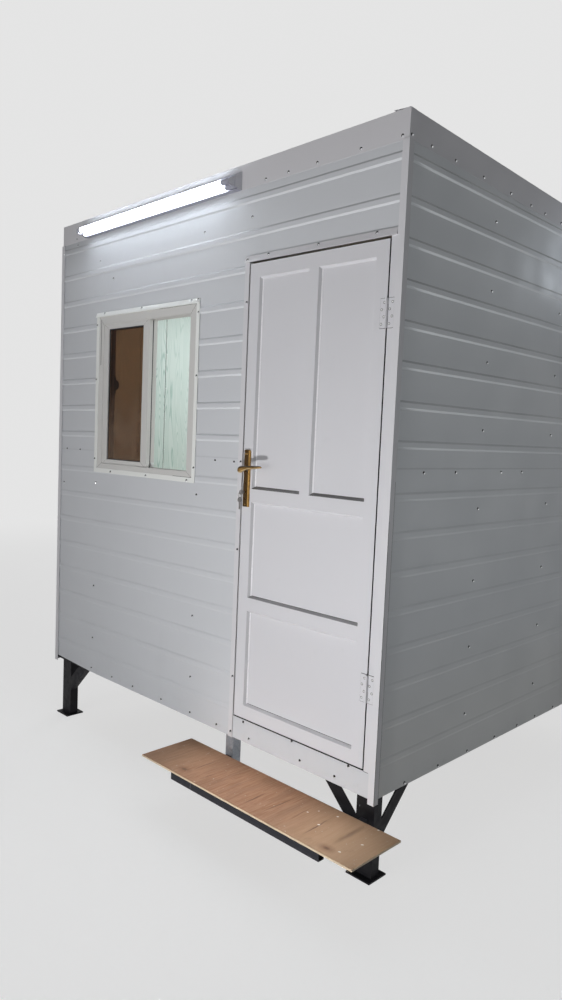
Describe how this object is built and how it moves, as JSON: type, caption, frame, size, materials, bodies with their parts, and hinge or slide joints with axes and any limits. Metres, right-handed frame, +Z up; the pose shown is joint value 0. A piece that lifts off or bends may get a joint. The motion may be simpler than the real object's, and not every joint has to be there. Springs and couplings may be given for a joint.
{
  "type": "portable site cabin",
  "caption": "Small portable cabin on short braced legs, ribbed white cladding, panelled outward door, sliding window, lamp under the roof edge and a plywood step.",
  "frame": {"origin": "middle of the whole footprint, on the ground", "axes": "+X to the right along the front wall, +Y from the front wall to the rear, +Z up"},
  "size_m": [2.586, 2.943, 2.9659],
  "materials": {
    "chassis": "black painted steel, worn and dusty",
    "floor_board": "plywood",
    "wall_core": "insulation core between sheet and boards",
    "cladding": "white coated ribbed sheet",
    "lining": "pale wood grain laminate with grooves",
    "roofing": "white coated roof sheet",
    "trim": "white folded flashing",
    "door_white": "white door, low sheen",
    "hinge_white": "white painted steel",
    "brass": "aged gold finish",
    "key_steel": "nickel plated",
    "upvc": "white frame section, satin",
    "bronze_glass": "bronze tinted",
    "lamp_body": "white lamp housing",
    "lamp_tube": "lit frosted tube",
    "plywood": "bare plywood with knots",
    "galvanised": "galvanised steel tube",
    "step_steel": "dark painted steel"
  },
  "bodies": {
    "cabin": {"floor_beam_front": "chassis", "floor_beam_rear": "chassis", "floor_beam_left": "chassis", "floor_beam_right": "chassis", "floor_joists": "chassis", "floor_deck": "floor_board", "leg_front_left": "chassis", "leg_front_right": "chassis", "leg_rear_left": "chassis", "leg_rear_right": "chassis", "front_wall": "wall_core", "front_wall_head": "wall_core", "left_wall": "wall_core", "right_wall": "wall_core", "rear_wall": "wall_core", "front_cladding": "cladding", "left_cladding": "cladding", "right_cladding": "cladding", "rear_cladding": "cladding", "front_lining": "lining", "left_lining": "lining", "right_lining": "lining", "rear_lining": "lining", "ceiling": "lining", "roof_core": "wall_core", "roof_sheet": "roofing", "fascia_front": "trim", "fascia_rear": "trim", "fascia_left": "trim", "fascia_right": "trim", "corner_trims": "trim", "door_frame": "door_white", "door_sill": "cladding", "door_flashing": "trim", "hinge_frame_plates": "hinge_white", "window_trim": "trim", "window_frame": "upvc", "window_sash_front": "upvc", "window_sash_rear": "upvc", "window_glass": "bronze_glass", "lamp_housing": "lamp_body", "lamp_tubes": "lamp_tube", "step_board": "plywood", "step_frame": "step_steel", "step_post": "galvanised"},
    "door": {"door_leaf": "door_white", "door_panels": "door_white", "hinge_door_plates": "hinge_white", "handle_plates": "brass", "lock_cylinder": "brass"},
    "lever": {"lever_handle": "brass"},
    "key": {"door_key": "key_steel"}
  },
  "joints": [
    {"name": "door_swing", "type": "hinge", "parent": "cabin", "child": "door", "pos_m": [1.0975, -1.1845, 1.4825], "axis": [0, 0, 1], "range_deg": [0, 170]},
    {"name": "lever_press", "type": "hinge", "parent": "door", "child": "lever", "pos_m": [0.36825, -1.2045, 1.5955], "axis": [0, 1, 0], "range_deg": [0, 40], "stiffness_Nm_per_rad": 2, "springref_deg": -20.05},
    {"name": "key_turn", "type": "hinge", "parent": "door", "child": "key", "pos_m": [0.36825, -1.2045, 1.4975], "axis": [0, 1, 0], "range_deg": [0, 90]}
  ]
}
